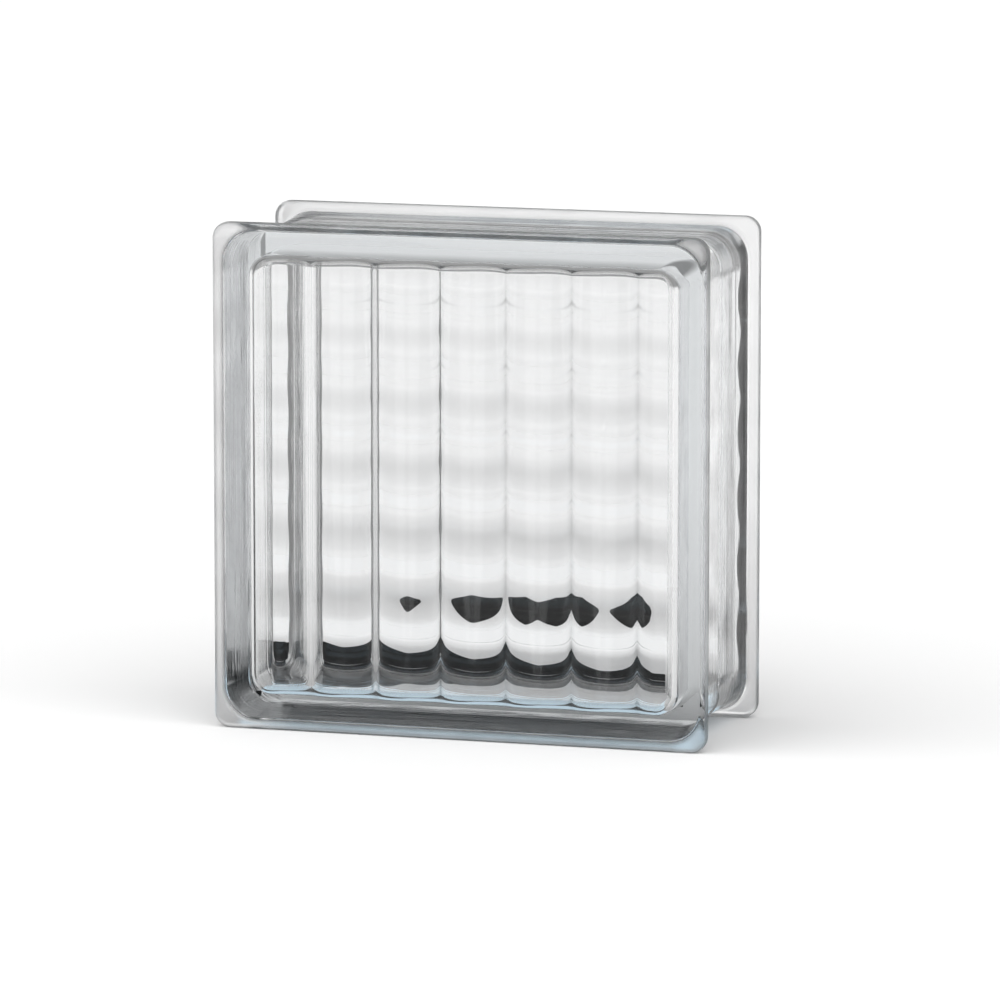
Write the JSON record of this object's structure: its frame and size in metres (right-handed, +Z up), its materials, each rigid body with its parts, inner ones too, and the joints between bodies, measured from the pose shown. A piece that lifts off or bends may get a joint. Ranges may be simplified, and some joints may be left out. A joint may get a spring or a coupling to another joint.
{
  "type": "glass block",
  "caption": "Hollow square glass block with lipped edges, crossed inside reeding and a mortar groove all round, for building walls that let light through.",
  "frame": {"origin": "middle of the footprint, on the level surface that the block stands on", "axes": "+Z up as laid in a wall, +X along the wall, +Y through the wall; the face with upright reeds behind it looks towards -Y"},
  "size_m": [0.19, 0.08, 0.19],
  "materials": {
    "clear_glass": "clear pressed glass with a faint blue-green tint, polished faces and softly rippled edges"
  },
  "bodies": {
    "root": {"front_half": "clear_glass", "back_half": "clear_glass"}
  },
  "joints": []
}
